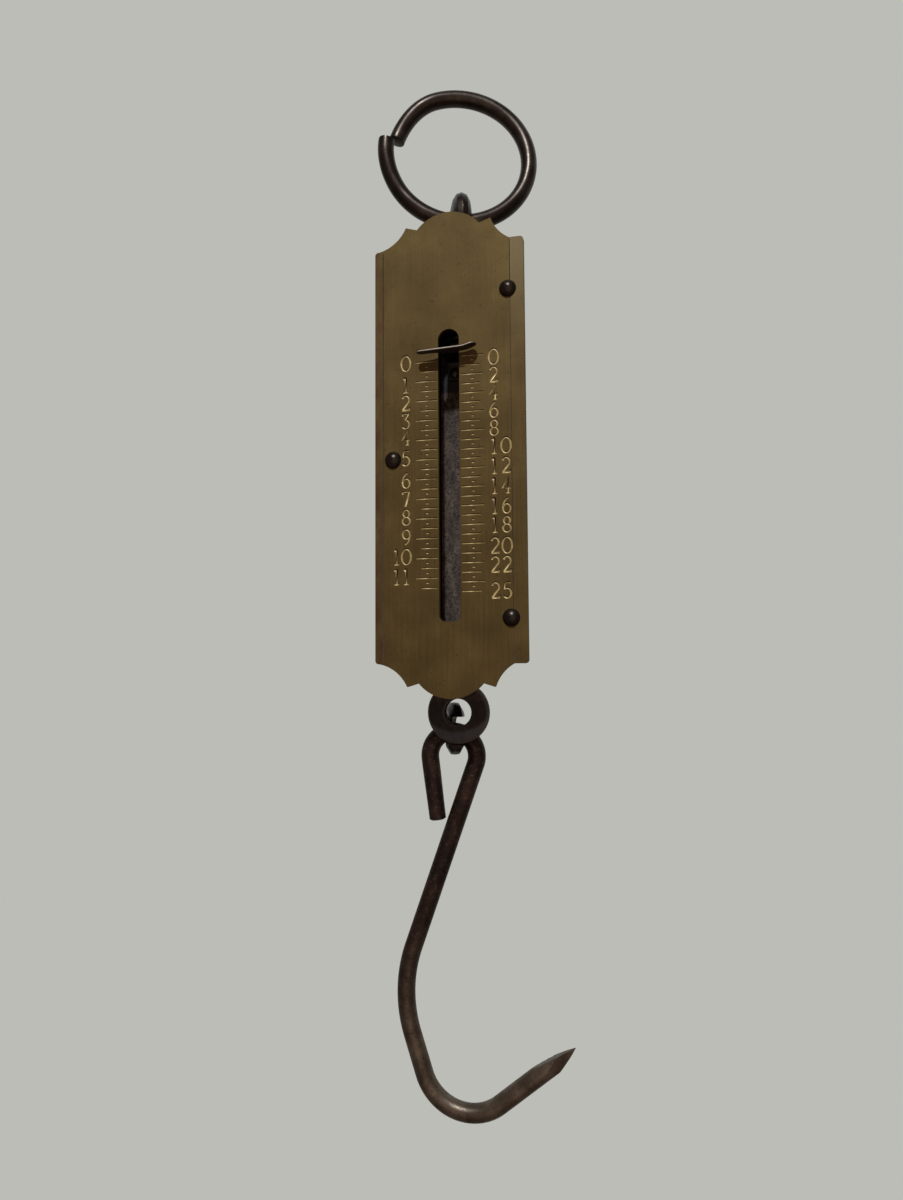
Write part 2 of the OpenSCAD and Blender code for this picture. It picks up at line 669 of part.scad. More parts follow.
function smooth(t) = t * t * (3 - 2 * t);
function round_at(r, a, z) = [r * cos(a), r * sin(a), z];
function curl_at(i) = let (a = i * 360 / coil_steps) round_at(coil_r, a, coil_pitch * a / 360);
function bend_at(t) = round_at(coil_r + (hook_r - coil_r) * smooth(t), end_angle + 90 * t * (2 - t),
    coil_len / 2 + coil_pitch / 2 * t + (hook_rise - coil_pitch / 2) * t * t);
function arc_at(a) = [hook_r * cos(a), 0, coil_len / 2 + hook_rise + hook_r * sin(a)];

upper_half = concat(
    [for (i = [1 : coil_steps * coil_count / 2]) curl_at(i)],
    [for (i = [1 : bend_steps]) bend_at(i / bend_steps)],
    [for (i = [1 : arc_steps]) arc_at(i * hook_arc / arc_steps)]);
half_count = len(upper_half);
spring_path = concat(
    [for (i = [half_count - 1 : -1 : 0]) let (p = upper_half[i]) [p[0], -p[1], -p[2]]],
    [curl_at(0)], upper_half);

function unit(v) = v / norm(v);
function heading(path, i) = unit(path[min(i + 1, len(path) - 1)] - path[max(i - 1, 0)]);
function across(v, t) = unit(v - (v * t) * t);

// A side direction for each point, carried along the path so that the tube never twists
function sides(path) = [for (i = 0, u = across([0, 1, 0.3], heading(path, 0)); i < len(path);
    i = i + 1, u = i < len(path) ? across(u, heading(path, i)) : u) u];

// A tube round a path, with a radius for each point: one ring of corners at each point,
// joined by triangles
module tube(path, radii, corners) {
    u = sides(path);
    n = len(path);
    points = [for (i = [0 : n - 1], k = [0 : corners - 1])
        let (a = k * 360 / corners, v = cross(heading(path, i), u[i]))
        path[i] + radii[i] * (cos(a) * u[i] + sin(a) * v)];
    walls = [for (i = [0 : n - 2], k = [0 : corners - 1])
        let (a = i * corners + k, b = i * corners + (k + 1) % corners)
        each [[a, a + corners, b], [b, a + corners, b + corners]]];
    caps = [for (k = [1 : corners - 2]) each [[0, k, k + 1],
        [(n - 1) * corners, (n - 1) * corners + k + 1, (n - 1) * corners + k]]];
    polyhedron(points, concat(walls, caps));
}

// Least gap of the wire to itself, between points that are more than half a curl apart
spring_gap = min([for (i = [0 : len(spring_path) - 6], j = [i + 5 : len(spring_path) - 1])
    norm(spring_path[i] - spring_path[j])]) - spring_wire;
echo(spring_gap_to_itself = spring_gap, spring_curls = coil_count + 0.5);

module main_spring() {
    color("#5a544e") placed() translate([0, spring_y, spring_mid]) rotate([0, 0, 90])
        tube(spring_path, [for (p = spring_path) spring_wire / 2], 6);
}

hanging_ring();
top_eye();
swivel_washer();
top_block();
side_rivet(block_rivet_place, 1);  // block_rivet_left
side_rivet(block_rivet_place, 0);  // block_rivet_right
face_plate();
face_rivet(rivet_places[0]);  // face_rivet_upper
face_rivet(rivet_places[1]);  // face_rivet_left
face_rivet(rivet_places[2]);  // face_rivet_lower
rear_case();
bottom_guide();
side_rivet(guide_rivet_place, 1);  // guide_rivet_left
side_rivet(guide_rivet_place, 0);  // guide_rivet_right
spring_top_pin();
main_spring();
draw_bar();
spring_low_pin();
pointer();
pointer_rivet();
hook_link();
hook();
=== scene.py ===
import json
import math

import bmesh
import bpy
import numpy as np
from mathutils import Matrix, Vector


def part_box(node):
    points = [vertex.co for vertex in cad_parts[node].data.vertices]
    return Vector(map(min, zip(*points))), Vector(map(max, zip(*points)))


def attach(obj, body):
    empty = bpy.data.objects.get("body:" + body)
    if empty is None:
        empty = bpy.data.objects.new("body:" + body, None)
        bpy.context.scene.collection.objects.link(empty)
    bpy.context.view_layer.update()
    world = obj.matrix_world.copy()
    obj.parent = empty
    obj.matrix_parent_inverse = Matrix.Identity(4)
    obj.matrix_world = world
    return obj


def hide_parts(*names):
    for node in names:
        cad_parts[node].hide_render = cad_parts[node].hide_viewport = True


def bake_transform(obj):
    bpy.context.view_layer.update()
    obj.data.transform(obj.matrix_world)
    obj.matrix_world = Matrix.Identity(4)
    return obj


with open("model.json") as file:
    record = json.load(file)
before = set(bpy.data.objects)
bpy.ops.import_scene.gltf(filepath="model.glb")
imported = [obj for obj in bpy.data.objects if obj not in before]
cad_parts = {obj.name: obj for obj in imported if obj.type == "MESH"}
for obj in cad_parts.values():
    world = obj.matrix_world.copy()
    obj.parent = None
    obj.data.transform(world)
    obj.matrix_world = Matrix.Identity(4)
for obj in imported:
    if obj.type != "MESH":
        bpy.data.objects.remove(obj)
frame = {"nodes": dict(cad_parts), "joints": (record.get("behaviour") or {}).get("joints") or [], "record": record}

# An old hanging spring balance before a pale backdrop. Sizes are in millimetres and angles in
# degrees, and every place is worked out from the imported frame, which is in metres.
mm = 0.001
deg = math.pi / 180
nodes = frame["nodes"]
joints = {joint["name"]: joint for joint in frame["joints"]}
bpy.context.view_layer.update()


def inMillimetres(point):
    return np.array(point, float) / mm


faceLow, faceHigh = [inMillimetres(corner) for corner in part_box("face_plate")]
faceMid = np.array([(faceLow[0] + faceHigh[0]) / 2, faceLow[1], (faceLow[2] + faceHigh[2]) / 2])

print("stage 1: shapes")


def unit(vectors):
    return vectors / np.linalg.norm(vectors, axis=-1, keepdims=True)


def smooth(t):
    # 3 t^2 - 2 t^3 between 0 and 1, level outside
    t = np.clip(t, 0, 1)
    return t * t * (3 - 2 * t)


def turned(points, tilt, turn):
    # Each point turned by tilt about X and then by turn about Z
    ct, st, cz, sz = math.cos(tilt), math.sin(tilt), math.cos(turn), math.sin(turn)
    aboutX = np.array([[1, 0, 0], [0, ct, -st], [0, st, ct]])
    aboutZ = np.array([[cz, -sz, 0], [sz, cz, 0], [0, 0, 1]])
    return points @ (aboutZ @ aboutX).T


def distancesAlong(line):
    steps = np.linalg.norm(np.diff(line, axis=0), axis=1)
    return np.concatenate([[0], np.cumsum(steps)])


def cutEnd(distance, size, left):
    # Share of the full radius near a cut end: left at the end itself, then a quarter round
    t = np.clip(distance / size, 0, 1)
    return left + (1 - left) * np.sqrt(1 - (1 - t) ** 2)


def wireRadii(line, sizes):
    # The wire's radius along a line that is cut at both ends
    length = distancesAlong(line)
    toEnd = np.minimum(length, length[-1] - length)
    return sizes["wire"] / 2 * cutEnd(toEnd, sizes["endRound"], sizes["endLeft"])


def tube(line, side, radii, corners):
    # point(i, a) = line(i) + radii(i, a) * (cos(a) * side(i) + sin(a) * across(i)), where side is
    # made square to the line and across is square to both
    along = unit(np.gradient(line, axis=0))
    side = unit(side - np.sum(side * along, axis=1, keepdims=True) * along)
    across = np.cross(along, side)
    a = np.linspace(0, 2 * np.pi, corners, endpoint=False)
    spokes = np.cos(a)[None, :, None] * side[:, None] + np.sin(a)[None, :, None] * across[:, None]
    radii = np.broadcast_to(radii.reshape(len(line), -1), (len(line), corners))
    return line[:, None] + radii[:, :, None] * spokes


def piece(name, grids, material, body):
    # Every grid is one closed shell: its cells are faces, its columns close up, and its first
    # and last rows are capped. The shells of a piece share one mesh.
    points, faces, base = [], [], 0
    for grid in grids:
        rows, columns = grid.shape[:2]
        i, j = np.meshgrid(np.arange(rows - 1), np.arange(columns), indexing="ij")
        row, nextRow, k = base + i * columns, base + (i + 1) * columns, (j + 1) % columns
        cells = np.stack([row + j, row + k, nextRow + k, nextRow + j], -1)
        faces += cells.reshape(-1, 4).tolist()
        faces += [list(range(base, base + columns))[::-1]]
        faces += [list(range(base + (rows - 1) * columns, base + rows * columns))]
        points.append(grid.reshape(-1, 3) * mm)
        base += rows * columns
    mesh = bpy.data.meshes.new(name)
    mesh.from_pydata(np.concatenate(points).tolist(), [], faces)
    return placePiece(name, mesh, material, body)


sharpEdge = 38


def placePiece(name, mesh, material, body):
    # Faces point outwards, and edges over sharpEdge degrees stay sharp. With a body of None the
    # piece rides on nothing yet.
    shape = bmesh.new()
    shape.from_mesh(mesh)
    bmesh.ops.recalc_face_normals(shape, faces=shape.faces)
    shape.to_mesh(mesh)
    shape.free()
    mesh.polygons.foreach_set("use_smooth", np.ones(len(mesh.polygons), bool))
    mesh.set_sharp_from_angle(angle=sharpEdge * deg)
    mesh.materials.append(material)
    made = bpy.data.objects.new(name, mesh)
    bpy.context.scene.collection.objects.link(made)
    if body is not None:
        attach(made, body)
    return made


print("stage 2: materials")


def paint(hexCode):
    # sRGB hex to the linear colour that the nodes use
    parts = np.array([int(hexCode[i:i + 2], 16) / 255 for i in (1, 3, 5)])
    linear = np.where(parts <= 0.04045, parts / 12.92, ((parts + 0.055) / 1.055) ** 2.4)
    return (*linear.tolist(), 1.0)


def newMaterial(name):
    made = bpy.data.materials.new(name)
    made.use_nodes = True
    made.node_tree.nodes.clear()
    return made


def add(material, kind, inputs=(), output=0, stops=(), **settings):
    # Adds a node, whose kind is named without its ShaderNode, and gives back one of its outputs.
    # Each input, in order or by its socket, is a value or the output of another node. Stops are
    # the (place, hex) pairs of a colour ramp.
    node = material.node_tree.nodes.new("ShaderNode" + kind)
    for key, value in settings.items():
        setattr(node, key, value)
    inputs = inputs if isinstance(inputs, dict) else dict(enumerate(inputs))
    for socket, value in inputs.items():
        if isinstance(value, bpy.types.NodeSocket):
            material.node_tree.links.new(value, node.inputs[socket])
        else:
            node.inputs[socket].default_value = value
    if stops:
        elements = node.color_ramp.elements
        while len(elements) < len(stops):
            elements.new(0.5)
        for element, (place, hexCode) in zip(elements, stops):
            element.position = place
            element.color = paint(hexCode)
    return node.outputs[output] if node.outputs else None


def grain(material, place, size, stretch=(1, 1, 1), detail=4, rough=0.55):
    # Noise whose blotches measure about size in millimetres, drawn out along the stretched axes
    scale = [1 / (size * mm * s) for s in stretch]
    spot = add(material, "Mapping", {"Vector": place, "Scale": scale})
    return add(material, "TexNoise", {"Vector": spot, "Scale": 1.0, "Detail": detail,
                                      "Roughness": rough})


def darken(material, colour, share, source, stops):
    # The colour times the shades that the stops give over a source, mixed in by share. Inputs 0,
    # 6 and 7 of a mix are its factor and its two colours, and output 2 is what it makes of them.
    shades = add(material, "ValToRGB", (source,), stops=stops)
    return add(material, "Mix", {0: share, 6: colour, 7: shades}, 2, data_type="RGBA",
               blend_type="MULTIPLY")


def cover(material, colour, over, source, low, high, share=1.0):
    # Another colour, laid over the first as the source goes from low to high, up to a share
    mask = add(material, "MapRange", (source, low, high, 0.0, share))
    return add(material, "Mix", {0: mask, 6: colour, 7: over}, 2, data_type="RGBA")


def finishSurface(material, surface):
    add(material, "OutputMaterial", (add(material, "BsdfPrincipled", surface),))
    return material


def finishMetal(material, colour, rough, heights, metallic):
    # The metal's shader, with its bumps given as (source, depth in millimetres)
    surface = {"Base Color": colour, "Roughness": rough, "Metallic": metallic}
    for source, depth in heights:
        bump = {"Height": source, "Distance": depth * mm, "Strength": 1.0}
        if "Normal" in surface:
            bump["Normal"] = surface["Normal"]
        surface["Normal"] = add(material, "Bump", bump)
    return finishSurface(material, surface)


def wornEdges(material, colour, share, hexCode):
    # Slanting faces, such as bevels and rounded edges, are painted lighter than the flats beside them, as wear and
    # as a painted highlight along the rims: fully where the normal's part along Y is near slant, and not at all
    # far from it
    slant, near, far = 0.66, 0.12, 0.3
    normal = add(material, "TexCoord", output="Normal")
    facing = add(material, "SeparateXYZ", (normal,), "Y")
    size = add(material, "Math", (facing,), operation="ABSOLUTE")
    difference = add(material, "Math", (size, slant), operation="SUBTRACT")
    off = add(material, "Math", (difference,), operation="ABSOLUTE")
    return cover(material, colour, paint(hexCode), off, far, near, share)


# The stain along the face's left edge, and the worn patch at its upper right corner: how far from
# the right edge and how far above the middle it comes in
brassSizes = {"stainWide": 3.5, "wornFrom": 3.3, "wornTo": 2.9, "wornUpFrom": 20, "wornUpTo": 46}


def agedBrass(sizes):
    # Rolled brass, brushed along its length and dulled by age: a brown-olive face with fine
    # upright lines, darker clouds, red-brown stains at its edge and a greyer worn corner
    made = newMaterial("agedBrass")
    place = add(made, "TexCoord", output="Object")
    across = add(made, "SeparateXYZ", (place,), "X")
    height = add(made, "SeparateXYZ", (place,), "Z")
    clouds = grain(made, place, 9)
    brushing = grain(made, place, 0.5, (0.5, 1, 40), 5, 0.7)  # real lines are finer, about 0.05 mm
    specks = grain(made, place, 0.6, detail=2)
    colour = add(made, "ValToRGB", (clouds,),
                 stops=[(0.25, "#4f3f1f"), (0.5, "#5b4a26"), (0.75, "#67562f")])
    colour = darken(made, colour, 0.8, brushing, [(0.3, "#c8c0b4"), (0.7, "#ffffff")])
    colour = darken(made, colour, 0.45, specks, [(0.28, "#3a2a1c"), (0.34, "#ffffff")])
    edge = add(made, "MapRange", (across, (faceLow[0] + sizes["stainWide"]) * mm,
                                  faceLow[0] * mm))
    stains = add(made, "MapRange", (grain(made, place, 3.5, (0.6, 1, 1.6)), 0.42, 0.62))
    stained = add(made, "Math", (edge, stains), operation="MULTIPLY")
    colour = cover(made, colour, paint("#4a2f1c"), stained, 0, 1)
    side = add(made, "MapRange", (across, (faceHigh[0] - sizes["wornFrom"]) * mm,
                                  (faceHigh[0] - sizes["wornTo"]) * mm))
    upper = add(made, "MapRange", (height, (faceMid[2] + sizes["wornUpFrom"]) * mm,
                                   (faceMid[2] + sizes["wornUpTo"]) * mm))
    worn = add(made, "Math", (side, upper), operation="MULTIPLY")
    colour = cover(made, colour, paint("#6e6248"), worn, 0, 1, 0.6)
    rough = add(made, "MapRange", (brushing, 0.2, 0.8, 0.55, 0.7))
    return finishMetal(made, colour, rough, [(brushing, 0.01), (clouds, 0.03)], 0.75)


def brightCut():
    # Brass laid bare by the punch and the graver, paler and smoother than the face round it. The upper side of
    # each cut, which faces down, is painted dark as shade.
    made = newMaterial("brightCut")
    dirt = grain(made, add(made, "TexCoord", output="Object"), 1.2)
    facing = add(made, "SeparateXYZ", (add(made, "TexCoord", output="Normal"),), "Z")
    colour = add(made, "ValToRGB", (dirt,), stops=[(0.3, "#7d6a3e"), (0.65, "#b39d6a")])
    # Painted shade: faces turned downwards are painted near black
    colour = cover(made, colour, paint("#1c130a"), facing, 0, -0.4)
    rough = add(made, "MapRange", (dirt, 0.2, 0.8, 0.5, 0.4))
    return finishMetal(made, colour, rough, [(dirt, 0.01)], 0.35)


def cutDirt():
    # Old polish and dirt in the scribed lines
    made = newMaterial("oldPolish")
    dirt = grain(made, add(made, "TexCoord", output="Object"), 1.5)
    colour = add(made, "ValToRGB", (dirt,), stops=[(0.3, "#1d140b"), (0.7, "#3a2c18")])
    return finishSurface(made, {"Base Color": colour, "Roughness": 0.8})


def forgedIron():
    # Forged and blued iron rubbed by use: near black with a brown cast and soft grey gloss, its bevels painted
    # lighter as wear and as a painted highlight
    made = newMaterial("forgedIron")
    place = add(made, "TexCoord", output="Object")
    hammer = grain(made, place, 3.2, detail=3)
    pits = grain(made, place, 0.45, detail=3)
    colour = add(made, "ValToRGB", (hammer,),
                 stops=[(0.3, "#241d1a"), (0.55, "#302825"), (0.8, "#443d39")])
    colour = darken(made, colour, 0.6, pits, [(0.3, "#7a6a60"), (0.5, "#ffffff")])
    # Bevels painted lighter, as wear and as a painted highlight
    colour = wornEdges(made, colour, 0.35, "#8d8276")
    rough = add(made, "MapRange", (pits, 0.25, 0.75, 0.46, 0.3))
    return finishMetal(made, colour, rough, [(hammer, 0.12), (pits, 0.02)], 0.9)


def drawnIron():
    # Drawn and blued iron wire, polished by the hand: near black brown with one clear line of light
    made = newMaterial("drawnIron")
    place = add(made, "TexCoord", output="Object")
    cloud = grain(made, place, 5, detail=3)
    pits = grain(made, place, 0.5, detail=3)
    colour = add(made, "ValToRGB", (cloud,),
                 stops=[(0.3, "#28211d"), (0.55, "#37302b"), (0.8, "#4d4741")])
    colour = darken(made, colour, 0.4, pits, [(0.3, "#8a7a70"), (0.5, "#ffffff")])
    rough = add(made, "MapRange", (pits, 0.25, 0.75, 0.38, 0.28))
    return finishMetal(made, colour, rough, [(cloud, 0.08), (pits, 0.004)], 0.9)


# How far under the hook's seat the rust begins to give way, and where the metal is rubbed bare
rustSizes = {"rusted": 37.629, "rubbed": 67.629}


def rustyIron(sizes):
    # Bent iron wire with a thin coat of rust: dark brown with lighter ochre specks, and rubbed
    # paler and smoother towards the bowl
    made = newMaterial("rustyIron")
    place = add(made, "TexCoord", output="Object")
    patches = grain(made, place, 6, detail=5)
    specks = grain(made, place, 0.8, detail=5, rough=0.7)
    seat = inMillimetres(joints["hook_sway"]["pos_m"])[2]
    height = add(made, "SeparateXYZ", (place,), "Z")
    rubbed = add(made, "MapRange", (height, (seat - sizes["rusted"]) * mm,
                                    (seat - sizes["rubbed"]) * mm))
    rusted = add(made, "ValToRGB", (patches,),
                 stops=[(0.3, "#180e0b"), (0.5, "#251712"), (0.72, "#3a2920")])
    bare = add(made, "ValToRGB", (patches,),
               stops=[(0.3, "#3b3028"), (0.5, "#52473b"), (0.72, "#6a6052")])
    colour = cover(made, rusted, bare, rubbed, 0, 1)
    colour = cover(made, colour, paint("#7d6c55"), specks, 0.54, 0.7, 0.28)
    colour = darken(made, colour, 0.7, specks, [(0.3, "#4a3a34"), (0.45, "#ffffff")])
    coarse = add(made, "MapRange", (specks, 0.3, 0.7, 0.58, 0.42))
    rough = add(made, "Math", (rubbed, -0.12, coarse), operation="MULTIPLY_ADD")
    return finishMetal(made, colour, rough, [(patches, 0.1), (specks, 0.04)], 0.7)


# Half the height over which the bar's eye darkens at the face's foot, and where, above the face's middle, the
# painted shadow on the bar's top begins
barSizes = {"eyeBlend": 1, "paintedShadowFrom": 14.6, "paintedShadowTo": 15.4}


def mottledIron(sizes):
    # Flat bar iron browned inside the case: purple-brown with dull grey blotches. Its top is painted black as the
    # shadow that the face and pointer cast on it, and its round eye is darker, with its bevels painted lighter as
    # wear and as a painted highlight.
    made = newMaterial("mottledIron")
    place = add(made, "TexCoord", output="Object")
    height = add(made, "SeparateXYZ", (place,), "Z")
    blotches = grain(made, place, 2.2, (0.8, 1, 1.8), 5, 0.65)
    fine = grain(made, place, 0.5, detail=4)
    colour = add(made, "ValToRGB", (blotches,),
                 stops=[(0.3, "#2e231b"), (0.5, "#42352b"), (0.7, "#594b40")])
    colour = darken(made, colour, 0.85, fine, [(0.36, "#3d322d"), (0.56, "#ffffff")])
    dark = add(made, "ValToRGB", (blotches,), stops=[(0.3, "#100b0a"), (0.7, "#231b19")])
    colour = cover(made, colour, dark, height, (faceLow[2] + sizes["eyeBlend"]) * mm,
                   (faceLow[2] - sizes["eyeBlend"]) * mm)
    # Painted shadow: above this height the bar is painted near black
    colour = cover(made, colour, paint("#0d0908"), height, (faceMid[2] + sizes["paintedShadowFrom"]) * mm,
                   (faceMid[2] + sizes["paintedShadowTo"]) * mm)
    # Bevels painted lighter, as wear and as a painted highlight
    colour = wornEdges(made, colour, 0.15, "#9a9084")
    rough = add(made, "MapRange", (blotches, 0.3, 0.7, 0.74, 0.6))
    return finishMetal(made, colour, rough, [(blotches, 0.05), (fine, 0.03)], 0.4)


# How far before the face the pointer's front is painted bright, as rubbed metal and as a painted highlight, and
# how far behind it all is painted dark as the shade inside the case
filedSizes = {"rubbed": 0.5, "dark": 0.2}


def filedIron(sizes):
    # Sheet iron filed to shape and browned. Its front edge is painted grey, as rubbing and as a painted highlight,
    # and behind the face it is painted near black as shade.
    made = newMaterial("filedIron")
    place = add(made, "TexCoord", output="Object")
    film = grain(made, place, 1.1)
    depth = add(made, "SeparateXYZ", (place,), "Y")
    facing = add(made, "SeparateXYZ", (add(made, "TexCoord", output="Normal"),), "Y")
    front = add(made, "MapRange", (facing, -0.5, -0.9))
    before = add(made, "MapRange", (depth, faceMid[1] * mm, (faceMid[1] - sizes["rubbed"]) * mm))
    rubbed = add(made, "Math", (front, before), operation="MULTIPLY")
    browned = add(made, "ValToRGB", (film,), stops=[(0.3, "#241d1a"), (0.7, "#3b332e")])
    # Painted shade: behind the face the iron is painted near black
    colour = cover(made, paint("#0d0908"), browned, depth, (faceMid[1] + sizes["dark"]) * mm,
                   faceMid[1] * mm)
    # Front faces before the face painted pale grey, as rubbed metal and as a painted highlight
    colour = cover(made, colour, paint("#a0968b"), rubbed, 0, 1)
    rough = add(made, "MapRange", (film, 0.3, 0.7, 0.55, 0.42))
    return finishMetal(made, colour, rough, [(film, 0.03)], 0.4)


def tarnishedSheet():
    # Rolled sheet iron, once tinned: grey-brown with rust bloom and faint rolling lines
    made = newMaterial("tarnishedSheet")
    place = add(made, "TexCoord", output="Object")
    bloom = grain(made, place, 7, detail=6, rough=0.65)
    rolling = grain(made, place, 0.6, (1, 1, 30), 3)
    colour = add(made, "ValToRGB", (bloom,), stops=[(0.32, "#54483c"), (0.5, "#6b6156"),
                                                    (0.62, "#5b3f2b"), (0.78, "#452d20")])
    colour = darken(made, colour, 0.35, rolling, [(0.35, "#8a847c"), (0.65, "#ffffff")])
    rough = add(made, "MapRange", (bloom, 0.3, 0.7, 0.42, 0.65))
    return finishMetal(made, colour, rough, [(rolling, 0.01), (bloom, 0.05)], 0.8)


def drawnSteel():
    # Drawn steel wire, oiled and dulled: mid grey with brown in its hollows
    made = newMaterial("drawnSteel")
    film = grain(made, add(made, "TexCoord", output="Object"), 1.6)
    colour = add(made, "ValToRGB", (film,),
                 stops=[(0.3, "#3a302a"), (0.55, "#5c554e"), (0.8, "#7a746d")])
    rough = add(made, "MapRange", (film, 0.3, 0.7, 0.6, 0.42))
    return finishMetal(made, colour, rough, [(film, 0.02)], 0.85)


brass = agedBrass(brassSizes)
cutBrass = brightCut()
grime = cutDirt()
iron = forgedIron()
wireIron = drawnIron()
rusty = rustyIron(rustSizes)
mottled = mottledIron(barSizes)
filed = filedIron(filedSizes)
sheetIron = tarnishedSheet()
steel = drawnSteel()

finishes = {"brass": brass, "iron": iron, "rusty_iron": rusty, "sheet_iron": sheetIron,
            "steel": steel}
slotOf = {subpart["node"]: subpart["material_slot"] for subpart in frame["record"]["subparts"]}
bodies = frame["record"]["behaviour"]["bodies"]
bodyOf = {node: body for body, members in bodies.items() for node in members}
for node, slotName in slotOf.items():
    for slot in nodes[node].material_slots:
        slot.material = finishes[slotName]

# How far the edges of each forged piece are rounded, in millimetres, and the finish of those that
# aren't like the rest of their slot
edgeSizes = {"top_eye": 0.3, "hook_link": 0.25, "draw_bar": 0.15, "bottom_guide": 0.3,
             "top_block": 0.3, "swivel_washer": 0.12, "face_rivet_upper": 0.12,
             "face_rivet_left": 0.12, "face_rivet_lower": 0.12}
polished = {"draw_bar": mottled, "top_eye": wireIron, "hook_link": wireIron,
            "face_rivet_upper": wireIron, "face_rivet_left": wireIron,
            "face_rivet_lower": wireIron}
wearSizes = {"seam": 0.002, "flat": 2, "steps": 3, "angle": 32}


def mergedCopy(node, sizes):
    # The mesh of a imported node: points within the seam are merged, and faces that lie flat to
    # each other are made one
    mesh = nodes[node].data.copy()
    mesh.materials.clear()
    shape = bmesh.new()
    shape.from_mesh(mesh)
    bmesh.ops.remove_doubles(shape, verts=shape.verts, dist=sizes["seam"] * mm)
    bmesh.ops.dissolve_limit(shape, angle_limit=sizes["flat"] * deg, verts=shape.verts,
                             edges=shape.edges)
    shape.to_mesh(mesh)
    shape.free()
    return mesh


def roundEdges(made, width, steps, angle):
    rounding = made.modifiers.new("edge", "BEVEL")
    rounding.width = width * mm
    rounding.segments = steps
    rounding.limit_method = "ANGLE"
    rounding.angle_limit = angle * deg


def roundedCopy(node, width, material, sizes):
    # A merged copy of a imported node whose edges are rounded, as wear leaves them
    made = placePiece(node + "_worn", mergedCopy(node, sizes), material, bodyOf[node])
    roundEdges(made, width, sizes["steps"], sizes["angle"])
    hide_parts(node)


for node, width in edgeSizes.items():
    roundedCopy(node, width, polished.get(node, finishes[slotOf[node]]), wearSizes)

print("stage 3: ring and hook")

ringSizes = {"radius": 17.1, "wire": 3.9, "lean": 7.4, "turn": 18, "joint": 164, "sprung": 55,
             "spread": 0.85, "gap": 0.2, "lap": -2.8, "endRound": 0.35, "endLeft": 0.8,
             "rows": 420, "corners": 36}


def ringLine(sizes):
    # At angle b the ring stands at radius * (cos b, 0, sin b). Near the joint its two ends leave
    # that circle by spread * sprung(b): the first goes out and forward, the last in and back.
    # A lap below zero leaves them that far apart.
    extra = sizes["lap"] / sizes["radius"] / 2
    a = np.linspace(-extra, 2 * np.pi + extra, sizes["rows"])
    reach = sizes["sprung"] * deg
    before, after = np.clip(a, 0, None), np.clip(2 * np.pi - a, 0, None)
    leave = smooth(1 - before / reach) - smooth(1 - after / reach)
    aside = math.sqrt((sizes["wire"] + sizes["gap"]) ** 2 - (2 * sizes["spread"]) ** 2) / 2
    radius = sizes["radius"] + sizes["spread"] * leave
    b = sizes["joint"] * deg + a
    return np.stack([radius * np.cos(b), -aside * leave, sizes["radius"] + radius * np.sin(b)], 1)


def hangingRing(sizes):
    line = ringLine(sizes)
    middle = np.array([0, 0, sizes["radius"]])
    radii = wireRadii(line, sizes)
    grid = tube(line, line - middle, radii, sizes["corners"])
    base = inMillimetres(joints["ring_tilt"]["pos_m"])
    return turned(grid, -sizes["lean"] * deg, sizes["turn"] * deg) + base


ringShape = piece("ring_of_round_wire", [hangingRing(ringSizes)], wireIron, "ring")
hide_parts("hanging_ring")

# Each of the hook's flats is the way that it faces and how far from the tip it begins
hookSizes = {"wire": 4.1, "loop": 5.5, "leg": 14, "legGap": 0.15, "legEnd": 1.9, "shank": 43.9,
             "lean": 19.7, "bend": 30, "bendAngle": 37.7, "throat": 8.8, "bowl": 10.9,
             "bowlAngle": 111, "arm": 15.2, "point": 6.4, "bulge": 0.78, "tip": 0.12,
             "flats": ((-95, 11), (-200, 8), (25, 9), (110, 8.2)),
             "endRound": 0.4, "endLeft": 0.75, "step": 0.3, "corners": 36}


def hookLine(sizes):
    # The line runs straight for a length, or round an arc of a radius through an angle, part
    # after part, in the plane of the hook. Heading 0 is up and a right turn is positive.
    aside = sizes["wire"] / 2 + sizes["legEnd"] + sizes["legGap"] - sizes["loop"]
    legLean = (math.acos(aside / math.hypot(sizes["loop"], sizes["leg"]))
               - math.atan2(sizes["leg"], sizes["loop"]) - sizes["lean"] * deg)
    c, s = math.cos(legLean), math.sin(legLean)
    at = np.array([-sizes["loop"] * c + sizes["leg"] * s, 0, -sizes["loop"] * s - sizes["leg"] * c])
    heading, line = -legLean, [at[None]]
    parts = [(sizes["leg"], 0), (sizes["loop"], np.pi + legLean + sizes["lean"] * deg),
             (sizes["shank"], 0), (sizes["bend"], -sizes["bendAngle"] * deg),
             (sizes["throat"], 0), (sizes["bowl"], -sizes["bowlAngle"] * deg),
             (sizes["arm"] + sizes["point"], 0)]
    for size, turn in parts:
        count = int(np.ceil((size * abs(turn) if turn else size) / sizes["step"]))
        share = np.arange(1, count + 1) / count
        if turn:
            b = heading + turn * share
            radius = np.sign(turn) * size
            middle = at + radius * np.array([math.cos(heading), 0, -math.sin(heading)])
            here = middle - radius * np.stack([np.cos(b), 0 * b, -np.sin(b)], 1)
        else:
            here = at + size * share[:, None] * np.array([math.sin(heading), 0, math.cos(heading)])
        line.append(here)
        at, heading = here[-1], heading + turn
    return np.concatenate(line)


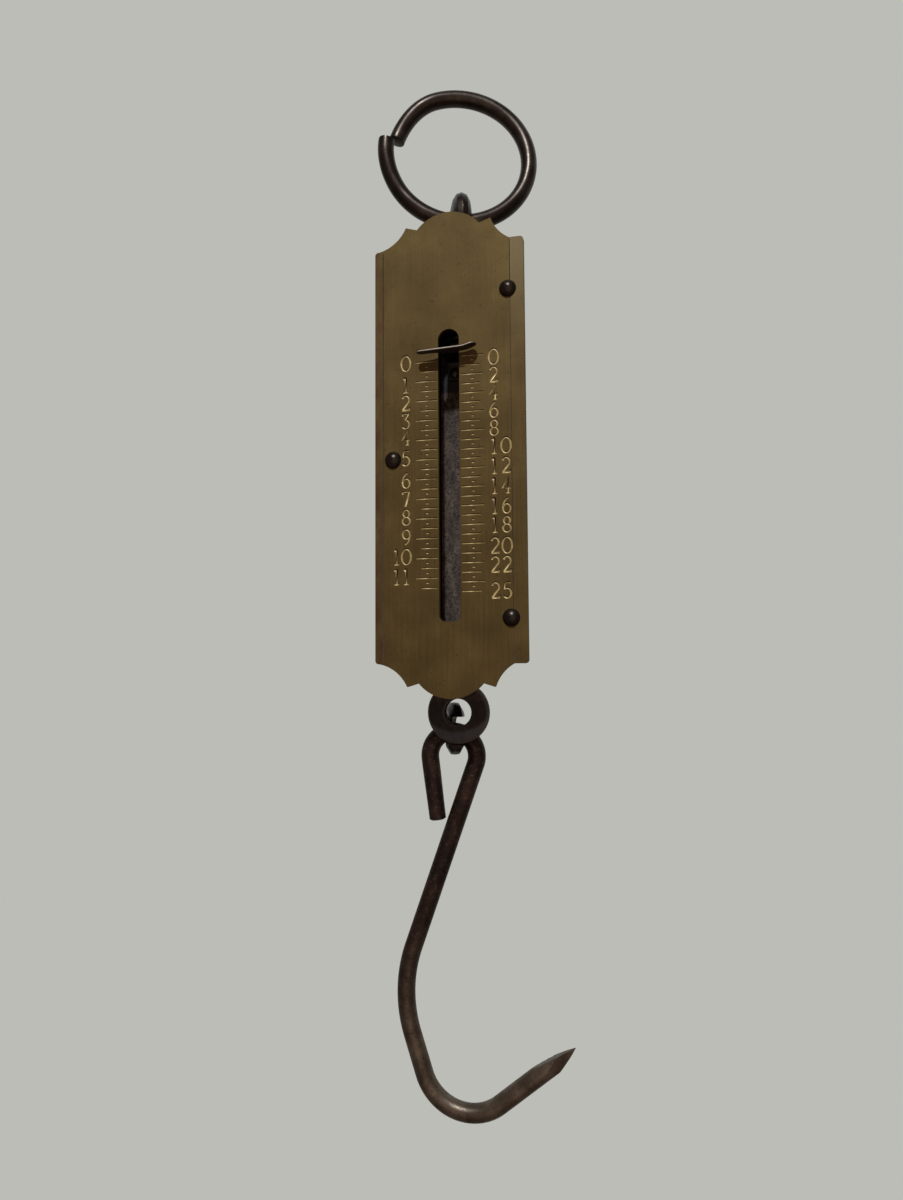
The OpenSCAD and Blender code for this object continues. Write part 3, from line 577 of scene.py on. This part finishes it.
def bentHook(sizes):
    # Round wire, thinner towards the cut end of its short leg. Its point is ground with flats:
    # a flat at angle f cuts the wire at d(s) / cos(a - f) from the line, and d falls to the tip
    # as (distance / reach) ^ bulge.
    line = hookLine(sizes)
    length = distancesAlong(line)
    fromTip = length[-1] - length
    radius = sizes["wire"] / 2
    thin = 1 - (1 - sizes["legEnd"] / radius) * (1 - smooth(length / sizes["leg"]))
    cutLeg = cutEnd(length, sizes["endRound"], sizes["endLeft"])
    radii = (radius * thin * cutLeg)[:, None] * np.ones(sizes["corners"])
    a = np.linspace(0, 2 * np.pi, sizes["corners"], endpoint=False)
    least, never = 0.05, 99
    for flat, reach in sizes["flats"]:
        cut = radius * (fromTip / reach) ** sizes["bulge"]
        facing = np.cos(a - flat * deg)
        edge = np.where(facing > least, cut[:, None] / np.maximum(facing, least), never)
        radii = np.minimum(radii, edge)
    radii = np.maximum(radii, sizes["tip"])
    grid = tube(line, np.broadcast_to([0.0, -1.0, 0.0], line.shape), radii, sizes["corners"])
    return grid + inMillimetres(joints["hook_sway"]["pos_m"])


hookShape = piece("bent_hook", [bentHook(hookSizes)], rusty, "hook")
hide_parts("hook")

print("stage 4: spring")

springSizes = {"wire": 1.25, "coil": 4.9, "pitch": 1.7, "curls": 11.5, "rise": 3.2, "hook": 2.025,
               "hookAngle": 250, "endRound": 0.2, "endLeft": 0.7, "stepsPerCurl": 48,
               "bendSteps": 40, "hookSteps": 50, "corners": 12}


def springLine(sizes):
    # Half the spring, from its middle up: a helix, then a bend that shrinks to the hook while it
    # rises, then the hook as an arc in the upright plane. The other half is the same, turned over.
    top = sizes["curls"] * sizes["pitch"] / 2
    end = sizes["curls"] * np.pi
    a = np.linspace(0, end, int(sizes["curls"] / 2 * sizes["stepsPerCurl"]) + 1)
    helix = np.stack([sizes["coil"] * np.cos(a), sizes["coil"] * np.sin(a),
                      sizes["pitch"] * a / (2 * np.pi)], 1)
    t = np.linspace(0, 1, sizes["bendSteps"])[1:]
    radius = sizes["coil"] + (sizes["hook"] - sizes["coil"]) * smooth(t)
    b = end + np.pi / 2 * t * (2 - t)
    height = top + sizes["pitch"] / 2 * t + (sizes["rise"] - sizes["pitch"] / 2) * t * t
    bend = np.stack([radius * np.cos(b), radius * np.sin(b), height], 1)
    c = np.linspace(0, sizes["hookAngle"] * deg, sizes["hookSteps"])[1:]
    centre = top + sizes["rise"]
    arc = np.stack([sizes["hook"] * np.cos(c), 0 * c, centre + sizes["hook"] * np.sin(c)], 1)
    half = np.concatenate([helix, bend, arc])
    return np.concatenate([(half * [1, -1, -1])[:0:-1], half]), centre


def coilSpring(sizes):
    # Its spokes point away from the middle line, which ends at the hooks' centres
    line, centre = springLine(sizes)
    level = line * [0, 0, 1]
    level[:, 2] = np.clip(level[:, 2], -centre, centre)
    grid = tube(line, line - level, wireRadii(line, sizes), sizes["corners"])
    low, high = [inMillimetres(corner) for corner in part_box("main_spring")]
    middle = (low + high) / 2
    return turned(grid, 0, np.pi / 2) + middle, middle


springGrid, springMid = coilSpring(springSizes)
springShape = piece("coil_spring", [springGrid], steel, None)
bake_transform(springShape)
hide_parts("main_spring")

print("stage 5: face with its cut scale")

# Places run from the middle of the face's front, across and up. A kilogram has four ticks and a
# pound two, and each second tick is only a dot.
scaleSizes = {"kiloZero": 20.4, "kiloStep": 4.417, "kiloParts": 4, "kiloTicks": 47,
              "kiloLong": (-7.6, -2.65), "kiloShort": (-6.4, -2.65), "kiloDot": (-5.3, -4.7),
              "kiloNumbers": range(12),
              "poundZero": 21.07, "poundStep": 2.094, "poundParts": 2, "poundTicks": 51,
              "poundLong": (2.75, 7.9), "poundShort": (2.75, 7.1), "poundDot": (5.1, 5.7),
              "poundNumbers": (*range(0, 23, 2), 25),
              "tickWidth": 0.36, "tickDepth": 0.2, "numberWidth": 0.46, "numberDepth": 0.24,
              "kiloEdge": -8.85, "poundEdge": 9.15, "numberHigh": 3.4, "numberWide": 2.05,
              "kiloGap": 0.15, "poundGap": 0.55,
              "kiloSlips": (0.08, -0.45, -0.16, 0.15, 0.92, 0.57, 0, 0.14, 0.51, 0.45, 0.52,
                            0.51),
              "poundSlips": (-0.71, -0.56, -0.18, 0, 0.18, 0.3, 0.07, -0.14, -0.34, -0.3, -0.69,
                             -0.63, 0.03),
              "lineLeft": -15.2, "lineRight": 14.0, "lineWidth": 0.16, "lineDepth": 0.06,
              "lineReach": 46.6, "edgeRound": 0.18, "edgeSteps": 2, "edgeAngle": 50}


def arcStroke(x, z, across, up, start, end, count=14):
    # (x + across * cos(a), z + up * sin(a)) from start to end
    a = np.linspace(start * deg, end * deg, count)
    return np.stack([x + across * np.cos(a), z + up * np.sin(a)], 1)


def lineStroke(*points):
    return np.array(points, float)


# Each numeral stands in a box one wide and one high, as strokes of an old serif face
numerals = {
    "0": [arcStroke(0.5, 0.5, 0.52, 0.5, 90, 450, 24)],
    "1": [lineStroke((0.5, 1), (0.5, 0)), lineStroke((0.22, 0), (0.78, 0)),
          lineStroke((0.5, 1), (0.2, 0.86))],
    "2": [np.concatenate([arcStroke(0.48, 0.72, 0.38, 0.28, 165, -35),
                          lineStroke((0.1, 0.03))]),
          lineStroke((0.08, 0.02), (0.9, 0.02), (0.93, 0.2))],
    "3": [np.concatenate([lineStroke((0.1, 0.82), (0.14, 0.98), (0.84, 0.98), (0.4, 0.58)),
                          arcStroke(0.44, 0.3, 0.42, 0.28, 80, -145, 16)])],
    "4": [lineStroke((0.66, 0), (0.66, 1), (0.06, 0.3), (0.94, 0.3)),
          lineStroke((0.45, 0), (0.87, 0))],
    "5": [np.concatenate([lineStroke((0.84, 0.97), (0.24, 0.97), (0.18, 0.54)),
                          arcStroke(0.44, 0.32, 0.44, 0.31, 125, -145, 16)])],
    "6": [arcStroke(0.5, 0.3, 0.4, 0.3, 90, 450, 20),
          arcStroke(0.78, 0.36, 0.68, 0.62, 100, 185, 10)],
    "7": [lineStroke((0.08, 0.8), (0.1, 0.98), (0.92, 0.98), (0.4, 0))],
    "8": [arcStroke(0.5, 0.75, 0.34, 0.24, 90, 450, 20),
          arcStroke(0.5, 0.26, 0.42, 0.26, 90, 450, 20)],
    "9": [arcStroke(0.5, 0.7, 0.4, 0.3, 90, 450, 20),
          arcStroke(0.22, 0.64, 0.68, 0.62, -80, 5, 10)],
}


def cutter(stroke, width, depth):
    # A wedge along the stroke: at the height lift over the face it is wider than the cut, and its
    # keel lies at the cut's depth. Columns are left, right and keel.
    lift = 0.1
    along = unit(np.gradient(stroke, axis=0))
    normal = np.stack([-along[:, 1], along[:, 0]], 1)
    half = width / 2 * (1 + lift / depth)
    grid = np.zeros((len(stroke), 3, 3))
    for column, (shift, deep) in enumerate(((half, -lift), (-half, -lift), (0, depth))):
        grid[:, column, ::2] = stroke + shift * normal
        grid[:, column, 1] = deep
    return grid + faceMid


def scaleStrokes(sizes):
    # Ticks run across, dots are short dashes, and each numeral stands by its tick, up or down by
    # the slip of the hand that struck it
    found = []
    tick = (sizes["tickWidth"], sizes["tickDepth"])
    mark = (sizes["numberWidth"], sizes["numberDepth"])
    digitSize = np.array([sizes["numberWide"], sizes["numberHigh"]])
    for row in ("kilo", "pound"):
        for n in range(sizes[row + "Ticks"]):
            z = sizes[row + "Zero"] - sizes[row + "Step"] * n / sizes[row + "Parts"]
            start, end = sizes[row + ("Dot" if n % 2 else "Short" if n % 4 else "Long")]
            found.append((lineStroke((start, z), (end, z)), *tick))
    for row in ("kilo", "pound"):
        edge, gap = sizes[row + "Edge"], sizes[row + "Gap"]
        pitch = sizes["numberWide"] + gap
        for n, slip in zip(sizes[row + "Numbers"], sizes[row + "Slips"]):
            z = sizes[row + "Zero"] - sizes[row + "Step"] * n + slip
            start = edge - pitch * len(str(n)) + gap if edge < 0 else edge
            for place, digit in enumerate(str(n)):
                corner = np.array([start + pitch * place, z - sizes["numberHigh"] / 2])
                for stroke in numerals[digit]:
                    found.append((stroke * digitSize + corner, *mark))
    return found


def scribedLines(sizes):
    reach = sizes["lineReach"]
    return [(lineStroke((x, -reach), (x, reach)), sizes["lineWidth"], sizes["lineDepth"])
            for x in (sizes["lineLeft"], sizes["lineRight"])]


def cutFace(sizes):
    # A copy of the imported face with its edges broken, less the wedges of its scale and lines. The
    # walls of a cut take the wedge's material.
    face = placePiece("engraved_face", mergedCopy("face_plate", wearSizes), brass, "case")
    roundEdges(face, sizes["edgeRound"], sizes["edgeSteps"], sizes["edgeAngle"])
    tools = []
    for strokes, material in ((scaleStrokes(sizes), cutBrass), (scribedLines(sizes), grime)):
        wedges = [cutter(*stroke) for stroke in strokes]
        tools.append(piece("scale_cutter", wedges, material, None))
        cut = face.modifiers.new("scale", "BOOLEAN")
        cut.operation = "DIFFERENCE"
        cut.solver = "EXACT"
        cut.material_mode = "TRANSFER"
        cut.use_self = True
        cut.object = tools[-1]
    graph = bpy.context.evaluated_depsgraph_get()
    finished = bpy.data.meshes.new_from_object(face.evaluated_get(graph))
    face.modifiers.clear()
    face.data = finished
    for tool in tools:
        bpy.data.objects.remove(tool)
    return face


def flattenSheet(shape, sharp=35, flat=0.97):
    # Faces whose normal's part along Y is over flat stay flat, which are the sheet's front and
    # back, and only its rounded edges are shaded as curves
    mesh = shape.data
    normals = np.zeros(3 * len(mesh.polygons))
    mesh.polygons.foreach_get("normal", normals)
    mesh.set_sharp_from_angle(angle=sharp * deg)
    mesh.polygons.foreach_set("use_smooth", np.abs(normals[1::3]) < flat)


faceShape = cutFace(scaleSizes)
flattenSheet(faceShape)
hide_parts("face_plate")
print("face has", len(faceShape.data.polygons), "faces")

print("stage 6: pointer")

pointerSizes = {"left": -6.7, "right": 6.7, "reach": 2.9, "thick": 0.55, "thinner": 0.3,
                "endRound": 0.4, "gapRight": 0.35, "gapLeft": 1.2, "bowFrom": 0.25, "slope": 2.2,
                "tipRise": 0.55, "neck": 3.4, "neckOut": 0.6, "foot": 4.8, "up": 22.3, "rows": 90,
                "corners": 24}


def pointerBlade(sizes):
    # Across X the section is a rounded bar, reach deep and thick high, that thins towards its
    # ends. The ends are round in plan, the left wing's back bends away from the face, so that it
    # gets as much narrower, and the right wing's tip bends up.
    x = np.sin(np.linspace(-1, 1, sizes["rows"]) * np.pi / 2)
    x = np.where(x < 0, -x * sizes["left"], x * sizes["right"])
    end = np.minimum(x - sizes["left"], sizes["right"] - x)
    thin = 1 - sizes["thinner"] * np.abs(x) / sizes["right"]
    thick = sizes["thick"] / 2 * thin * np.clip(end / sizes["endRound"], 0.2, 1) ** 0.5
    bow = sizes["gapLeft"] - sizes["gapRight"]
    gap = sizes["gapRight"] + bow * smooth(x / sizes["left"] + sizes["bowFrom"]) * (x < 0)
    half = (sizes["gapRight"] + sizes["reach"] - gap) / 2
    deep = half * np.sqrt(np.clip(1 - (1 - np.clip(end / half, 0, 1)) ** 2, 0.003, 1))
    a = np.linspace(0, 2 * np.pi, sizes["corners"], endpoint=False)
    y = np.sign(np.cos(a)) * np.abs(np.cos(a)) ** 0.5
    z = np.sign(np.sin(a)) * np.abs(np.sin(a)) ** 0.7
    grid = np.zeros((len(x), len(a), 3))
    grid[:, :, 0] = x[:, None]
    grid[:, :, 1] = (-gap - half)[:, None] + deep[:, None] * y
    rise = sizes["tipRise"] * (smooth(x / sizes["right"] * 2 - 1) - 1 / 3)
    middle = x * math.tan(sizes["slope"] * deg) + rise
    grid[:, :, 2] = middle[:, None] + thick[:, None] * z
    return grid + faceMid + [0, 0, sizes["up"]]


def pointerNeck(sizes):
    # A strip that starts in the blade, at a share neckOut of its reach, runs back through the slot
    # and turns down on the bar. A bend's point says how far back it is and how far up.
    thick = sizes["thick"]
    front = faceMid[1] - sizes["gapRight"] - sizes["reach"] * sizes["neckOut"]
    back = inMillimetres(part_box("pointer")[1])[1] - thick / 2
    bends = [(front, 0), (back - 1.2, 0), (back - 0.5, -0.1), (back - 0.12, -0.5), (back, -1.1),
             (back, thick / 2 - sizes["foot"])]
    path = np.array([[faceMid[0], y, faceMid[2] + sizes["up"] + z] for y, z in bends])
    up = np.cross(unit(np.gradient(path, axis=0)), [1.0, 0, 0])
    section = np.array([[-1, -1], [-0.9, -1], [0.9, -1], [1, -1], [1, 1], [0.9, 1], [-0.9, 1],
                        [-1, 1]])
    across = sizes["neck"] / 2 * section[None, :, 0, None] * [1, 0, 0]
    return path[:, None] + across + thick / 2 * section[None, :, 1, None] * up[:, None]


pointerShells = [pointerBlade(pointerSizes), pointerNeck(pointerSizes)]
pointerShape = piece("bent_pointer", pointerShells, filed, "draw")
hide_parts("pointer")

print("stage 7: wall, lamps and camera")

wallSizes = {"behind": 250, "half": 1500, "blotch": 40, "dark": "#bdc1c0", "light": "#c1c5c4"}


def paleWall(sizes):
    # Painted plaster, matt and even, which the metal mirrors at its rims. It stands clear of every
    # swing, and its back is clear, so that the lamp behind it shines through. The camera sees the
    # backdrop in its place.
    made = newMaterial("palePaint")
    tone = grain(made, add(made, "TexCoord", output="Object"), sizes["blotch"], detail=3)
    colour = add(made, "ValToRGB", (tone,), stops=[(0.3, sizes["dark"]), (0.7, sizes["light"])])
    front = add(made, "BsdfPrincipled", {"Base Color": colour, "Roughness": 0.9})
    clear = add(made, "BsdfTransparent")
    fromBehind = add(made, "NewGeometry", output="Backfacing")
    add(made, "OutputMaterial", (add(made, "MixShader", (fromBehind, front, clear)),))
    half, y = sizes["half"] * mm, sizes["behind"] * mm
    corners = [(-half, y, -half), (half, y, -half), (half, y, half), (-half, y, half)]
    mesh = bpy.data.meshes.new("wall")
    mesh.from_pydata(corners, [], [(0, 1, 2, 3)])
    mesh.materials.append(made)
    wall = bpy.data.objects.new("wall", mesh)
    bpy.context.scene.collection.objects.link(wall)
    wall.visible_camera = False


paleWall(wallSizes)

# The dim room lights the metal, and the camera sees a plain backdrop
worldLight = {"colour": "#d8bcab", "strength": 0.28, "backdrop": "#bcbdb7"}


def lightRoom(light):
    world = bpy.data.worlds.new("room")
    bpy.context.scene.world = world
    world.use_nodes = True
    world.node_tree.nodes.clear()
    room = add(world, "Background", (paint(light["colour"]), light["strength"]))
    backdrop = add(world, "Background", (paint(light["backdrop"]),))
    toCamera = add(world, "LightPath", output="Is Camera Ray")
    add(world, "OutputWorld", (add(world, "MixShader", (toCamera, room, backdrop)),))


lightRoom(worldLight)

# Each lamp: direction from the face (across, back, up), distance, size and power in watts
lamps = {
    "roomLamp": {"from": (0.06, -1.0, 1.15), "far": 1500, "size": 100, "power": 22.5,
                 "colour": "#f2f9ff"},
    "roomFill": {"from": (0.28, -0.95, -0.12), "far": 1100, "size": 1500, "power": 3.2,
                 "colour": "#ffe4d6"},
    "backFill": {"from": (-0.3, 0.9, 0.3), "far": 900, "size": 500, "power": 9,
                 "colour": "#fff4ec"},
}


def standing(data, point, axes):
    # A lamp or camera at a point, with the given across, up and backward axes
    holder = bpy.data.objects.new(data.name, data)
    rotation = Matrix(np.stack(axes, 1).tolist()).to_4x4()
    holder.matrix_world = Matrix.Translation(point * mm) @ rotation
    bpy.context.scene.collection.objects.link(holder)
    return holder


for name, lamp in lamps.items():
    light = bpy.data.lights.new(name, "AREA")
    light.shape = "DISK"
    light.size = lamp["size"] * mm
    light.energy = lamp["power"]
    light.color = paint(lamp["colour"])[:3]
    away = unit(np.array(lamp["from"], float))
    aside = unit(np.cross([0, 0, 1.0], away))
    standing(light, faceMid + lamp["far"] * away, [aside, np.cross(away, aside), away])

cameraView = {"azimuth": 13.71, "elevation": -4.41, "roll": -0.38, "far": 196.4,
              "aimAcross": 0.34, "aimUp": -33.14, "lens": 27.06, "sensor": 36, "clip": 10}


def addCamera(view):
    # The camera stands far out from its aim on the face's front, turned round by azimuth
    az, el, roll = view["azimuth"] * deg, view["elevation"] * deg, view["roll"] * deg
    back = np.array([math.sin(az) * math.cos(el), -math.cos(az) * math.cos(el), math.sin(el)])
    right = np.array([math.cos(az), math.sin(az), 0])
    up = np.cross(back, right)
    rolledRight = right * math.cos(roll) + up * math.sin(roll)
    rolledUp = up * math.cos(roll) - right * math.sin(roll)
    aim = faceMid + [view["aimAcross"], 0, view["aimUp"]]
    data = bpy.data.cameras.new("camera")
    data.sensor_width = view["sensor"]
    data.lens = view["lens"]
    data.clip_start = view["clip"] * mm
    camera = standing(data, aim + view["far"] * back, [rolledRight, rolledUp, back])
    bpy.context.scene.camera = camera


addCamera(cameraView)
bpy.context.scene.view_settings.view_transform = "Standard"
